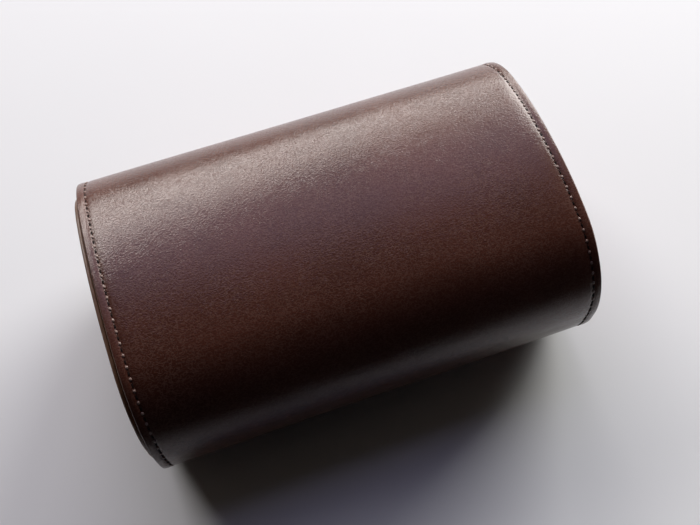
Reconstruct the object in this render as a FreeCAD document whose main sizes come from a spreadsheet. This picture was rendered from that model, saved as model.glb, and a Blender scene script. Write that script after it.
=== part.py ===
import FreeCAD
import Part
import math
import os
import Sketcher

# A closed two-watch travel case: a leather trough with end cheeks, a hinged crown lid, a closing flap
# and two cushions. X runs along the case, -Y is the front with the closing flap, +Y is the back with the
# hinge, Z is up.

SIZES = {
    "wrap_length": 140.0,
    "case_depth": 94.0,
    "case_height": 63.6,
    "shoulder_radius": 29.0,
    "crown_radius": 92.0,
    "bottom_radius": 28.0,
    "leather_thickness": 1.2,
    "board_thickness": 1.6,
    "lining_thickness": 0.8,
    "lid_clearance": 0.4,
    "front_wall_drop": 3.0,
    "front_wall_straight": 0.9,
    "flap_margin": 4.0,
    "flap_corner_radius": 9.0,
    "hinge_relief": 6.0,
    "corner_ease": 0.8,
    "cheek_overhang": 2.0,
    "cheek_board_thickness": 2.0,
    "divider_board_thickness": 2.0,
    "divider_rise": 7.0,
    "divider_corner_radius": 9.0,
    "cushion_side_gap": 3.1,
    "cushion_end_gap": 11.4,
    "cushion_height": 38.0,
    "cushion_shoulder_radius": 16.0,
    "cushion_crown_radius": 60.0,
    "cushion_bottom_radius": 14.0,
    "cushion_edge_radius": 9.0,
    "cushion_cover_thickness": 0.8,
    "magnet_diameter": 6.0,
    "magnet_spacing": 70.0,
    "magnet_clearance": 0.2,
    "keeper_thickness": 0.6,
}

doc = FreeCAD.newDocument("WatchCase")
sheet = doc.addObject("Spreadsheet::Sheet", "Sizes")
for row, (alias, number) in enumerate(SIZES.items(), start=1):
    sheet.set("A%d" % row, alias)
    sheet.set("B%d" % row, str(number))
    sheet.setAlias("B%d" % row, alias)
doc.recompute()


class Length:
    """A size in millimetres together with the sheet expression that gives it."""

    def __init__(self, text, value):
        self.text = text
        self.value = value

    def __add__(self, other):
        return Length("(%s + %s)" % (self.text, other.text), self.value + other.value)

    def __sub__(self, other):
        return Length("(%s - %s)" % (self.text, other.text), self.value - other.value)

    def __mul__(self, other):
        return Length("(%s * %s)" % (self.text, other.text), self.value * other.value)

    def half(self):
        return Length("(%s / 2)" % self.text, self.value / 2)

    def twice(self):
        return Length("(%s * 2)" % self.text, self.value * 2)

    def smaller(self, other):
        return Length("min(%s; %s)" % (self.text, other.text), min(self.value, other.value))

    def root(self):
        return Length("sqrt(%s)" % self.text, math.sqrt(self.value))


def size(alias):
    return Length("Sizes." + alias, SIZES[alias])


leather = size("leather_thickness")
board = size("board_thickness")
lining = size("lining_thickness")
clearance = size("lid_clearance")
wrap = leather + board + lining
half_depth = size("case_depth").half()
half_length = size("wrap_length").half()
shoulder = size("shoulder_radius")
crown = size("crown_radius")
relief = size("hinge_relief")


def arch_spring(depth_half, height, shoulder_radius, crown_radius):
    # height at which the upright sides turn into the shoulder arcs
    across = depth_half - shoulder_radius
    reach = crown_radius - shoulder_radius
    return height - crown_radius + (reach * reach - across * across).root()


side_top = arch_spring(half_depth, size("case_height"), shoulder, crown)
front_top = side_top - size("front_wall_drop")
# the bottom corners leave a straight run at the top of the front wall
corner = size("bottom_radius").smaller(front_top - size("front_wall_straight"))
magnet_radius = size("magnet_diameter").half()
magnet_height = front_top - magnet_radius - clearance
flap_edge = magnet_height - magnet_radius - size("flap_margin")
shoulder_centre = half_depth - shoulder
front_face = half_depth - wrap - clearance
front_inside = front_face - wrap
back_inside = half_depth - wrap
outside = half_depth + shoulder

# the sketcher's own codes for points of a curve, and for the origin and the upright axis
START, END, CENTRE = range(1, 4)
ROOT, UPRIGHT_AXIS = range(-1, -3, -1)


def vector(y, z):
    return FreeCAD.Vector(y, z, 0)


def circle_arc(y, z, radius, first, last):
    ring = Part.Circle(vector(y, z), FreeCAD.Vector(0, 0, 1), radius)
    return Part.ArcOfCircle(ring, first, last)


def new_body(label):
    body = doc.addObject("PartDesign::Body", label)
    body.Label = label
    return body


def new_sketch(body, name, plane="YZ_Plane"):
    sketch = body.newObject("Sketcher::SketchObject", body.Label + "_" + name)
    support = [f for f in body.Origin.OriginFeatures if f.Role == plane][0]
    sketch.AttachmentSupport = (support, [""])
    sketch.MapMode = "FlatFace"
    return sketch


def measure(sketch, kind, length, *places):
    # adds a dimension to the sketch and ties it to the sheet
    index = sketch.addConstraint(Sketcher.Constraint(kind, *places, length.value))
    sketch.setExpression("Constraints[%d]" % index, length.text)


def smooth_chain(sketch, count, sharp):
    # joins each curve to the next, smoothly unless the joint is listed as sharp
    for index in range(count):
        kind = "Coincident" if index in sharp else "Tangent"
        following = (index + 1) % count
        sketch.addConstraint(Sketcher.Constraint(kind, index, END, following, START))


def arch_outline(sketch, depth_half, spring, shoulder_radius, crown_radius, bottom, bottom_radius=None):
    # closed loop with upright sides, two shoulder arcs and a crown arc over a flat bottom
    side = depth_half.value
    across = side - shoulder_radius.value
    rise = math.sqrt((crown_radius.value - shoulder_radius.value) ** 2 - across ** 2)
    crown_z = spring.value - rise
    turn = math.atan2(rise, across)
    low = bottom.value if bottom else 0.0
    foot = bottom_radius.value if bottom_radius else 0.0
    curves = [Part.LineSegment(vector(foot - side, low), vector(side - foot, low))]
    if bottom_radius:
        curves.append(circle_arc(side - foot, low + foot, foot, -math.pi / 2, 0))
    curves.append(Part.LineSegment(vector(side, low + foot), vector(side, spring.value)))
    curves.append(circle_arc(across, spring.value, shoulder_radius.value, 0, turn))
    curves.append(circle_arc(0, crown_z, crown_radius.value, turn, math.pi - turn))
    curves.append(circle_arc(-across, spring.value, shoulder_radius.value, math.pi - turn, math.pi))
    curves.append(Part.LineSegment(vector(-side, spring.value), vector(-side, low + foot)))
    if bottom_radius:
        curves.append(circle_arc(foot - side, low + foot, foot, math.pi, 3 * math.pi / 2))
    sketch.addGeometry(curves, False)
    first = 2 if bottom_radius else 1
    last = first + 4
    count = len(curves)
    smooth_chain(sketch, count, () if bottom_radius else (0, last))
    sketch.addConstraint(Sketcher.Constraint("Horizontal", 0))
    sketch.addConstraint(Sketcher.Constraint("Vertical", first))
    sketch.addConstraint(Sketcher.Constraint("Vertical", last))
    sketch.addConstraint(Sketcher.Constraint("PointOnObject", first + 2, CENTRE, UPRIGHT_AXIS))
    measure(sketch, "DistanceX", depth_half, ROOT, START, first, START)
    measure(sketch, "DistanceX", depth_half, last, START, ROOT, START)
    measure(sketch, "DistanceY", spring, ROOT, START, first + 1, CENTRE)
    measure(sketch, "Radius", shoulder_radius, first + 1)
    measure(sketch, "Radius", crown_radius, first + 2)
    measure(sketch, "Radius", shoulder_radius, first + 3)
    if bottom:
        measure(sketch, "DistanceY", bottom, ROOT, START, 0, START)
    else:
        sketch.addConstraint(Sketcher.Constraint("PointOnObject", 0, START, ROOT))
    if bottom_radius:
        measure(sketch, "Radius", bottom_radius, 1)
        measure(sketch, "Radius", bottom_radius, count - 1)


def tray_outline(sketch, front, back, bottom, top, bottom_radius, top_radius=None):
    # closed loop of a tray section: rounded foot corners, with square or rounded upper corners
    left, right, low, high = -front.value, back.value, bottom.value if bottom else 0.0, top.value
    foot = bottom_radius.value
    head = top_radius.value if top_radius else 0.0
    curves = [
        Part.LineSegment(vector(left + foot, low), vector(right - foot, low)),
        circle_arc(right - foot, low + foot, foot, -math.pi / 2, 0),
        Part.LineSegment(vector(right, low + foot), vector(right, high - head)),
    ]
    if top_radius:
        curves.append(circle_arc(right - head, high - head, head, 0, math.pi / 2))
    curves.append(Part.LineSegment(vector(right - head, high), vector(left + head, high)))
    if top_radius:
        curves.append(circle_arc(left + head, high - head, head, math.pi / 2, math.pi))
    curves.append(Part.LineSegment(vector(left, high - head), vector(left, low + foot)))
    curves.append(circle_arc(left + foot, low + foot, foot, math.pi, 3 * math.pi / 2))
    sketch.addGeometry(curves, False)
    count = len(curves)
    lid_line = 4 if top_radius else 3
    front_line = count - 2
    smooth_chain(sketch, count, () if top_radius else (2, 3))
    for index in (0, lid_line):
        sketch.addConstraint(Sketcher.Constraint("Horizontal", index))
    for index in (2, front_line):
        sketch.addConstraint(Sketcher.Constraint("Vertical", index))
    measure(sketch, "DistanceX", back, ROOT, START, 2, START)
    measure(sketch, "DistanceX", front, front_line, START, ROOT, START)
    measure(sketch, "DistanceY", top, ROOT, START, lid_line, START)
    measure(sketch, "Radius", bottom_radius, 1)
    measure(sketch, "Radius", bottom_radius, count - 1)
    if top_radius:
        measure(sketch, "Radius", top_radius, 3)
        measure(sketch, "Radius", top_radius, 5)
    if bottom:
        measure(sketch, "DistanceY", bottom, ROOT, START, 0, START)
    else:
        sketch.addConstraint(Sketcher.Constraint("PointOnObject", 0, START, ROOT))


def polygon_outline(sketch, corners):
    # closed loop of straight lines: each corner is a sign and a length across, and a sign and a length up
    spots = [vector(a * y.value, b * z.value) for a, y, b, z in corners]
    count = len(spots)
    lines = [Part.LineSegment(spots[i], spots[(i + 1) % count]) for i in range(count)]
    sketch.addGeometry(lines, False)
    smooth_chain(sketch, count, range(count))
    for index, (a, y, b, z) in enumerate(corners):
        here, origin = (index, START), (ROOT, START)
        measure(sketch, "DistanceX", y, *(origin + here if a > 0 else here + origin))
        measure(sketch, "DistanceY", z, *(origin + here if b > 0 else here + origin))


def pad(body, sketch, length, both_sides=False, backward=False):
    feature = body.newObject("PartDesign::Pad", sketch.Label + "_pad")
    feature.Profile = sketch
    feature.SideType = "Symmetric" if both_sides else "One side"
    feature.Reversed = backward
    feature.Length = length.value
    feature.setExpression("Length", length.text)
    doc.recompute()
    return feature


def pocket(body, sketch, length, both_sides=False, backward=False):
    feature = body.newObject("PartDesign::Pocket", sketch.Label + "_pocket")
    feature.Profile = sketch
    feature.SideType = "Symmetric" if both_sides else "One side"
    feature.Reversed = backward
    feature.Length = length.value
    feature.setExpression("Length", length.text)
    doc.recompute()
    return feature


def shift(thing, x=None, x_sign="", y=None, z=None):
    # places a finished piece by sheet expressions
    if x:
        thing.setExpression("Placement.Base.x", x_sign + x.text)
    if y:
        thing.setExpression("Placement.Base.y", y.text)
    if z:
        thing.setExpression("Placement.Base.z", z.text)


def hide(body):
    body.Visibility = False
    return body


full_length = size("wrap_length")
over_length = full_length + size("cheek_overhang").twice()
nodes = []


def arch_shell(label, outer, inner, waste):
    # one layer of the wrap: a band between two insets of an arch with straight sides, less the waste
    foot = size("flap_corner_radius")
    body = new_body(label)
    for name, inset, feature in (("outer", outer, pad), ("inner", inner, pocket)):
        sketch = new_sketch(body, name)
        if inset:
            arch_outline(
                sketch, half_depth - inset, side_top, shoulder - inset, crown - inset, inset, foot - inset
            )
        else:
            arch_outline(sketch, half_depth, side_top, shoulder, crown, None, foot)
        feature(body, sketch, full_length if feature is pad else over_length, both_sides=True)
    for index, corners in enumerate(waste):
        sketch = new_sketch(body, "waste%d" % index)
        polygon_outline(sketch, corners)
        pocket(body, sketch, over_length, both_sides=True)
    nodes.append(body)
    return body


def lid_waste(gap):
    # what lies outside the lid: below the back hinge and in front of the shoulder fold
    fold = shoulder_centre - gap if gap else shoulder_centre
    below = side_top + gap if gap else side_top
    rim = shoulder.twice()
    return [
        [
            (-1, outside, -1, shoulder),
            (1, outside, -1, shoulder),
            (1, outside, 1, below),
            (-1, outside, 1, below),
        ],
        [
            (-1, fold, 1, side_top),
            (-1, fold + rim, 1, side_top + rim),
            (-1, outside + rim, 1, side_top + rim),
            (-1, outside + rim, 1, side_top),
        ],
    ]


def flap_waste(gap):
    # what lies outside the flap: behind the shoulder fold and below the free edge
    fold = shoulder_centre + gap if gap else shoulder_centre
    rim = shoulder.twice()
    return [
        [
            (-1, fold, 1, side_top),
            (1, outside, 1, side_top),
            (1, outside, 1, side_top + rim),
            (-1, fold + rim, 1, side_top + rim),
        ],
        [
            (-1, shoulder_centre, -1, shoulder),
            (1, outside, -1, shoulder),
            (1, outside, 1, side_top + shoulder),
            (-1, shoulder_centre, 1, side_top),
        ],
        [
            (-1, outside, -1, shoulder),
            (-1, shoulder_centre - clearance, -1, shoulder),
            (-1, shoulder_centre - clearance, 1, flap_edge),
            (-1, outside, 1, flap_edge),
        ],
    ]


def meets(place, target):
    return math.isclose(place, target, abs_tol=1e-6)


def round_corners(body):
    # rounds the two free corners of a flap layer
    doc.recompute()
    base = body.Tip
    names = []
    for index, edge in enumerate(base.Shape.Edges, start=1):
        box = edge.BoundBox
        level = meets(box.ZMin, flap_edge.value) and meets(box.ZLength, 0)
        at_end = meets(abs(box.XMin), half_length.value) and meets(box.XLength, 0)
        if level and at_end:
            names.append("Edge%d" % index)
    fillet = body.newObject("PartDesign::Fillet", body.Label + "_corners")
    fillet.Base = (base, names)
    fillet.Radius = size("flap_corner_radius").value
    fillet.setExpression("Radius", size("flap_corner_radius").text)
    doc.recompute()


def tray_shell(label, outer, inner, gap):
    # one layer of the trough: base, lower front wall, and a back wall that stops a gap short of the hinge
    body = new_body(label)
    sketch = new_sketch(body, "outer")
    if outer:
        tray_outline(sketch, front_face - outer, half_depth - outer, outer, side_top, corner - outer)
    else:
        tray_outline(sketch, front_face, half_depth, None, side_top, corner)
    pad(body, sketch, full_length, both_sides=True)
    sketch = new_sketch(body, "inner")
    tray_outline(sketch, front_face - inner, half_depth - inner, inner, side_top + wrap, corner - inner)
    pocket(body, sketch, over_length, both_sides=True)
    trims = [(-1, front_inside, front_top)]
    if gap:
        trims.append((1, back_inside, side_top - gap))
    for sign, inside, top in trims:
        sketch = new_sketch(body, "back_trim" if sign > 0 else "front_trim")
        polygon_outline(
            sketch,
            [
                (sign, outside, 1, top),
                (sign, inside - clearance, 1, top),
                (sign, inside - clearance, 1, side_top + wrap),
                (sign, outside, 1, side_top + wrap),
            ],
        )
        pocket(body, sketch, over_length, both_sides=True)
    nodes.append(body)
    return body


def disc_sketch(body, name, radius):
    # two circles side by side in the upright plane along the case
    sketch = new_sketch(body, name, "XZ_Plane")
    half_spacing = size("magnet_spacing").half()
    for index, sign in enumerate((-1, 1)):
        spot = vector(sign * half_spacing.value, magnet_height.value)
        sketch.addGeometry(Part.Circle(spot, FreeCAD.Vector(0, 0, 1), radius.value), False)
        here, origin = (index, CENTRE), (ROOT, START)
        measure(sketch, "DistanceX", half_spacing, *(origin + here if sign > 0 else here + origin))
        measure(sketch, "DistanceY", magnet_height, *(origin + here))
        measure(sketch, "Radius", radius, index)
    return sketch


def disc_pair(label, depth, thickness):
    # two discs, with their inner faces at the given depth in front of the middle
    body = new_body(label)
    sketch = disc_sketch(body, "discs", magnet_radius)
    pad(body, sketch, thickness)
    body.setExpression("Placement.Base.y", "-(%s)" % depth.text)
    doc.recompute()
    nodes.append(body)
    return body


def disc_holes(body):
    # holes through the front board for the discs
    sketch = disc_sketch(body, "holes", magnet_radius + size("magnet_clearance"))
    pocket(body, sketch, outside, backward=True)


def cheek_sketches(body, name, ease):
    # lower outline inside the trough and upper outline under the lid, both drawn in by the ease
    low = new_sketch(body, name + "_low")
    drawn = wrap + ease if ease else wrap
    radius = corner - wrap + size("corner_ease")
    tray_outline(
        low,
        front_face - drawn,
        half_depth - drawn,
        drawn,
        side_top - clearance,
        radius - ease if ease else radius,
    )
    high = new_sketch(body, name + "_high")
    under = drawn + clearance
    ledge = front_top + clearance + ease if ease else front_top + clearance
    arch_outline(high, half_depth - under, side_top, shoulder - under, crown - under, ledge)
    return low, high


def cheek(side, left):
    # end panel of three nodes, built outward from its inner face
    sign = "-" if left else ""
    thickness = lining + size("cheek_board_thickness") + leather
    inner_face = half_length + size("cheek_overhang") - thickness
    panel = new_body(side + "_cheek_lining")
    for sketch in cheek_sketches(panel, "outline", None):
        pad(panel, sketch, lining, backward=left)
    shift(panel, x=inner_face, x_sign=sign)
    stiff = new_body(side + "_cheek_board")
    for sketch in cheek_sketches(stiff, "outline", leather):
        pad(stiff, sketch, size("cheek_board_thickness"), backward=left)
    shift(stiff, x=inner_face + lining, x_sign=sign)
    cover = new_body(side + "_cheek_cover")
    for sketch in cheek_sketches(cover, "outline", None):
        pad(cover, sketch, size("cheek_board_thickness") + leather, backward=left)
    for sketch in cheek_sketches(cover, "hollow", leather):
        pocket(cover, sketch, size("cheek_board_thickness"), backward=not left)
    shift(cover, x=inner_face + lining, x_sign=sign)
    nodes.extend([cover, stiff, panel])
    return inner_face


def divider_sketch(body, name, ease):
    radius = corner - wrap + size("corner_ease")
    top = side_top + size("divider_rise")
    head = size("divider_corner_radius")
    sketch = new_sketch(body, name)
    if ease:
        tray_outline(
            sketch,
            front_inside - ease,
            back_inside - ease,
            wrap + ease,
            top - ease,
            radius - ease,
            head - ease,
        )
    else:
        tray_outline(sketch, front_inside, back_inside, wrap, top, radius, head)
    return sketch


def divider():
    stiff = new_body("divider_board")
    pad(stiff, divider_sketch(stiff, "outline", lining), size("divider_board_thickness"), both_sides=True)
    cover = new_body("divider_cover")
    thick = size("divider_board_thickness") + lining.twice()
    pad(cover, divider_sketch(cover, "outline", None), thick, both_sides=True)
    hollow = divider_sketch(cover, "hollow", lining)
    pocket(cover, hollow, size("divider_board_thickness"), both_sides=True)
    nodes.extend([stiff, cover])
    return thick


def end_edges(feature, half_width):
    # the edges round the two flat ends of a padded form
    names = []
    for index, edge in enumerate(feature.Shape.Edges, start=1):
        box = edge.BoundBox
        if meets(box.XLength, 0) and meets(abs(box.XMin), half_width):
            names.append("Edge%d" % index)
    return names


def cushion_form(label, ease, width):
    # crowned pillow: an arched section along the slot with rounded-over ends
    depth = (front_inside + back_inside) - size("cushion_end_gap").twice()
    section = depth.half()
    round_top = size("cushion_shoulder_radius")
    round_crown = size("cushion_crown_radius")
    spring = arch_spring(section, size("cushion_height"), round_top, round_crown)
    foot = size("cushion_bottom_radius")
    edge = size("cushion_edge_radius")
    body = new_body(label)
    sketch = new_sketch(body, "section")
    if ease:
        arch_outline(sketch, section - ease, spring, round_top - ease, round_crown - ease, ease, foot - ease)
        width = width - ease.twice()
        edge = edge - ease
    else:
        arch_outline(sketch, section, spring, round_top, round_crown, None, foot)
    block = pad(body, sketch, width, both_sides=True)
    fillet = body.newObject("PartDesign::Fillet", label + "_ends")
    fillet.Base = (block, end_edges(block, width.value / 2))
    fillet.Radius = edge.value
    fillet.setExpression("Radius", edge.text)
    doc.recompute()
    return body


def cushion(side, left, inner_face, divider_thick):
    gap = size("cushion_side_gap")
    slot_middle = (inner_face + divider_thick.half()).half()
    width = inner_face - divider_thick.half() - gap.twice()
    middle = (back_inside - front_inside).half()
    sign = "-" if left else ""
    form = hide(cushion_form(side + "_cushion_form", None, width))
    foam = cushion_form(side + "_cushion_foam", size("cushion_cover_thickness"), width)
    for piece in (form, foam):
        shift(piece, x=slot_middle, x_sign=sign, y=middle, z=wrap)
    cover = doc.addObject("Part::Cut", side + "_cushion_cover")
    cover.Label = side + "_cushion_cover"
    cover.Base = form
    cover.Tool = foam
    nodes.extend([cover, foam])


tray_shell("trough_leather", None, leather, None)
trough_board = tray_shell("trough_board", leather, leather + board, relief)
disc_holes(trough_board)
tray_shell("trough_lining", leather + board, wrap, None)
disc_pair("front_keepers", front_face - leather - board, size("keeper_thickness"))

arch_shell("lid_leather", None, leather, lid_waste(None))
arch_shell("lid_board", leather, leather + board, lid_waste(relief))
arch_shell("lid_lining", leather + board, wrap, lid_waste(None))

round_corners(arch_shell("flap_leather", None, leather, flap_waste(None)))
flap_board = arch_shell("flap_board", leather, leather + board, flap_waste(relief))
round_corners(flap_board)
disc_holes(flap_board)
round_corners(arch_shell("flap_lining", leather + board, wrap, flap_waste(None)))
disc_pair("flap_magnets", half_depth - leather - board, board)

inner_face = cheek("left", True)
cheek("right", False)
divider_thick = divider()
cushion("left", True, inner_face, divider_thick)
cushion("right", False, inner_face, divider_thick)
doc.recompute()

os.makedirs("parts", exist_ok=True)
for thing in doc.Objects:
    if "Invalid" in thing.State or "Error" in thing.State:
        raise RuntimeError("%s did not recompute: %s" % (thing.Label, thing.State))
for node in nodes:
    shape = node.Shape
    if not shape.isValid() or not shape.Solids or shape.Volume <= 0:
        raise RuntimeError("%s has no sound solid" % node.Label)
    shape.exportStep(os.path.join("parts", node.Label + ".step"))
    box = shape.BoundBox
    print(
        "%-20s solids %d volume %8.0f  x %.1f %.1f  y %.1f %.1f  z %.1f %.1f"
        % (
            node.Label,
            len(shape.Solids),
            shape.Volume,
            box.XMin,
            box.XMax,
            box.YMin,
            box.YMax,
            box.ZMin,
            box.ZMax,
        )
    )
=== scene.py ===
import math

import bmesh
import bpy
from mathutils import Matrix, Quaternion, Vector


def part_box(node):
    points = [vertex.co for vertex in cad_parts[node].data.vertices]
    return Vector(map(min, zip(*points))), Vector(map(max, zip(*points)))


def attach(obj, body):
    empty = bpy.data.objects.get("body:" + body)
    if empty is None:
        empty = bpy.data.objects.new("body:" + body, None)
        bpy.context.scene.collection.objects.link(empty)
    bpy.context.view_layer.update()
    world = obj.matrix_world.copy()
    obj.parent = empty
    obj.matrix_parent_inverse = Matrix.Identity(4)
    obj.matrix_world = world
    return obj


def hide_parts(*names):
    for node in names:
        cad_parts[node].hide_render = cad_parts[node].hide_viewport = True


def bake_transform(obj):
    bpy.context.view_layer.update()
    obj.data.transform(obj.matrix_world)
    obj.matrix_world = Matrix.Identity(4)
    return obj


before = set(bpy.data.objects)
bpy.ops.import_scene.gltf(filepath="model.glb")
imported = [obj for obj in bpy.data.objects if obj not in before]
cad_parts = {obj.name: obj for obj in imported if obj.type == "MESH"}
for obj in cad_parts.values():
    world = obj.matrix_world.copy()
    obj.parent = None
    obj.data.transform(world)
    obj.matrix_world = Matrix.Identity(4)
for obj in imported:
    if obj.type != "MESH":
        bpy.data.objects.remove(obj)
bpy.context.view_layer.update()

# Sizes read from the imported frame, in metres
trough_low, trough_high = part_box("trough_leather")
flap_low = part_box("flap_leather")[0]
cheek_low, cheek_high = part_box("right_cheek_cover")
HALF_LENGTH = trough_high.x
BACK = trough_high.y
SIDE_TOP = trough_high.z
FRONT_WALL = trough_low.y
FLAP_FACE = flap_low.y
FLAP_EDGE = flap_low.z
CROWN_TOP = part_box("lid_leather")[1].z
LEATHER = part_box("trough_board")[0].z
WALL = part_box("right_cheek_lining")[0].z
CHEEK_LINING_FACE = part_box("right_cheek_lining")[0].x

# Rounds of the wrap, and how far its front wall stays below the sides
SHOULDER_RADIUS = 0.029
BOTTOM_RADIUS = 0.028
FLAP_CORNER_RADIUS = 0.009
FLAP_CORNER_SEGMENTS = 14
FRONT_WALL_DROP = 0.003

# Where the two leathers meet on the back shoulder, past the hinge
SEAM_ANGLE = math.radians(32)
SEAM_ROW_ANGLE = math.radians(0.5)
SEAM_TOLERANCE = SEAM_ROW_ANGLE / 3
SPARE_ANGLE = math.radians(16)

# Row lengths of the swept sheets
ROUND_STEP = 0.0008
CROWN_STEP = 0.0012
STRAIGHT_STEP = 0.0016
COLUMN_STEP = 0.007
UPRIGHT_STEP = 0.004

# Stitched margin of the leather
STITCH_MARGIN = 0.0026
STITCH_PITCH = 0.00345
EDGE_ROUND = 0.0003

# Slight unevenness of the covered boards
WAVE_SCALE = 0.035
WAVE_DEPTH = 0.00018

LEFT_TURN = (-1, 0, 0)
RIGHT_ANGLE = math.radians(90)
SHARP_ANGLE = math.radians(60)
SMOOTH_ANGLE = math.radians(40)


class Outline:
    """A line in the end view, Y across and Z up, drawn in straight runs and left-hand rounds."""

    def __init__(self, start, heading):
        self.start = Vector(start)
        self.point = Vector(start)
        self.heading = heading
        self.runs = []
        self.length = 0.0

    def ahead(self):
        return Vector((math.cos(self.heading), math.sin(self.heading)))

    def add(self, run):
        self.runs.append(run)
        self.length += run["length"]
        return self

    def straight(self, length, steps=0):
        move = self.ahead() * length
        run = {"length": length, "radius": 0.0, "start": self.point, "heading": self.heading}
        run["steps"] = steps or math.ceil(length / STRAIGHT_STEP)
        run["move"] = move
        self.point = self.point + move
        return self.add(run)

    def to(self, point):
        """A short straight run to a given point; the heading stays."""
        move = Vector(point) - self.point
        run = {"length": move.length, "radius": 0.0, "start": self.point, "heading": self.heading}
        run["steps"] = 1
        run["move"] = move
        self.point = Vector(point)
        return self.add(run)

    def round(self, radius, angle, step=ROUND_STEP):
        inward = Vector((-math.sin(self.heading), math.cos(self.heading)))
        centre = self.point + inward * radius
        run = {"length": radius * angle, "radius": radius, "start": self.point, "heading": self.heading}
        run["steps"] = max(1, math.ceil(radius * angle / step))
        run["angle"] = angle
        run["centre"] = centre
        self.point = centre + Matrix.Rotation(angle, 2) @ (self.point - centre)
        self.heading += angle
        return self.add(run)

    def place(self, distance):
        """The point and the heading at a distance along the line."""
        for run in self.runs:
            if distance <= run["length"] or run is self.runs[-1]:
                break
            distance -= run["length"]
        if not run["radius"]:
            return run["start"] + run["move"] * (distance / run["length"]), run["heading"]
        turned = distance / run["radius"]
        spoke = Matrix.Rotation(turned, 2) @ (run["start"] - run["centre"])
        return run["centre"] + spoke, run["heading"] + turned


def crown_radius(inset):
    """Radius of the crown that runs tangent into both shoulders, less an inset."""
    rise = CROWN_TOP - SIDE_TOP
    reach = BACK - SHOULDER_RADIUS
    whole = (reach ** 2 + rise ** 2 - SHOULDER_RADIUS ** 2) / (2 * (rise - SHOULDER_RADIUS))
    return whole - inset


def shoulder_angle():
    """How far a shoulder turns between an upright wall and the crown."""
    lean = math.asin((BACK - SHOULDER_RADIUS) / (crown_radius(0) - SHOULDER_RADIUS))
    return RIGHT_ANGLE - lean


def trough_outline(inset):
    """The wrap from the top of the front wall, under the case and up the back, past the hinge."""
    line = Outline((FRONT_WALL + inset, SIDE_TOP - FRONT_WALL_DROP), -RIGHT_ANGLE)
    line.straight(SIDE_TOP - FRONT_WALL_DROP - BOTTOM_RADIUS, steps=1)
    line.round(BOTTOM_RADIUS - inset, RIGHT_ANGLE)
    line.straight(BACK - FRONT_WALL - 2 * BOTTOM_RADIUS)
    line.round(BOTTOM_RADIUS - inset, RIGHT_ANGLE)
    line.straight(SIDE_TOP - BOTTOM_RADIUS)
    line.round(SHOULDER_RADIUS - inset, SEAM_ANGLE - SEAM_ROW_ANGLE)
    line.round(SHOULDER_RADIUS - inset, SEAM_ROW_ANGLE)
    return line


def crown_outline(inset, spare):
    """The wrap from the seam on the back shoulder over the crown and down the closing flap."""
    centre = Vector((BACK - SHOULDER_RADIUS, SIDE_TOP))
    start_angle = SEAM_ANGLE - spare
    out = Vector((math.cos(start_angle), math.sin(start_angle)))
    line = Outline(centre + out * (SHOULDER_RADIUS - inset), RIGHT_ANGLE + start_angle)
    if spare:
        line.round(SHOULDER_RADIUS - inset, spare)
    line.round(SHOULDER_RADIUS - inset, SEAM_ROW_ANGLE)
    line.round(SHOULDER_RADIUS - inset, shoulder_angle() - SEAM_ANGLE - SEAM_ROW_ANGLE)
    line.round(crown_radius(inset), 2 * (RIGHT_ANGLE - shoulder_angle()), CROWN_STEP)
    line.round(SHOULDER_RADIUS - inset, shoulder_angle())
    line.straight(SIDE_TOP - FLAP_EDGE, steps=1)
    return line


def deselect():
    bpy.ops.object.select_all(action="DESELECT")


def choose(piece):
    """Makes one piece the only one selected, and the active one."""
    deselect()
    piece.select_set(True)
    bpy.context.view_layer.objects.active = piece


def edit(piece):
    """Opens one piece in edit mode with nothing selected."""
    choose(piece)
    bpy.ops.object.mode_set(mode="EDIT")
    bpy.ops.mesh.select_mode(type="VERT")
    bpy.ops.mesh.select_all(action="DESELECT")


def leave():
    bpy.ops.object.mode_set(mode="OBJECT")


def pick(piece, wanted):
    """Selects the points whose place passes the test, and what lies between them."""
    bpy.ops.mesh.select_mode(type="VERT")
    bpy.ops.mesh.select_all(action="DESELECT")
    mesh = bmesh.from_edit_mesh(piece.data)
    for point in mesh.verts:
        if wanted(point.co):
            point.select_set(True)
    mesh.select_flush(True)
    bmesh.update_edit_mesh(piece.data)


def apply_modifier(piece, kind, **settings):
    """Adds a modifier with these settings and applies it."""
    choose(piece)
    modifier = piece.modifiers.new(kind.lower(), kind)
    for name, value in settings.items():
        setattr(modifier, name, value)
    bpy.ops.object.modifier_apply(modifier=modifier.name)


def thicken(piece, thickness, **materials):
    """Gives a sheet its thickness inwards, with other materials inside or on its rim."""
    apply_modifier(piece, "SOLIDIFY", thickness=thickness, offset=-1, use_even_offset=True, **materials)


def smooth(piece):
    choose(piece)
    bpy.ops.object.shade_smooth_by_angle(angle=SMOOTH_ANGLE)


def trace(outline):
    """Extrudes and spins what is selected along every run of an outline."""
    for run in outline.runs:
        if run["radius"]:
            centre = (0, run["centre"].x, run["centre"].y)
            bpy.ops.mesh.spin(steps=run["steps"], angle=run["angle"], center=centre, axis=LEFT_TURN)
        else:
            step = run["move"] / run["steps"]
            for _ in range(run["steps"]):
                bpy.ops.mesh.extrude_region_move(TRANSFORM_OT_translate={"value": (0, step.x, step.y)})


def swept_sheet(name, outline):
    """A sheet as long as the case, swept along an outline from the edge of a plane, facing outwards."""
    deselect()
    middle = outline.start.x + HALF_LENGTH
    bpy.ops.mesh.primitive_plane_add(size=2 * HALF_LENGTH, location=(0, middle, outline.start.y))
    piece = bpy.context.object
    piece.name = name
    bpy.ops.object.transform_apply(location=True, rotation=False, scale=False)
    edit(piece)
    pick(piece, lambda place: place.y > middle)
    bpy.ops.mesh.delete(type="VERT")
    bpy.ops.mesh.select_all(action="SELECT")
    trace(outline)
    bpy.ops.mesh.select_all(action="SELECT")
    bpy.ops.mesh.flip_normals()
    leave()
    return piece


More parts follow.
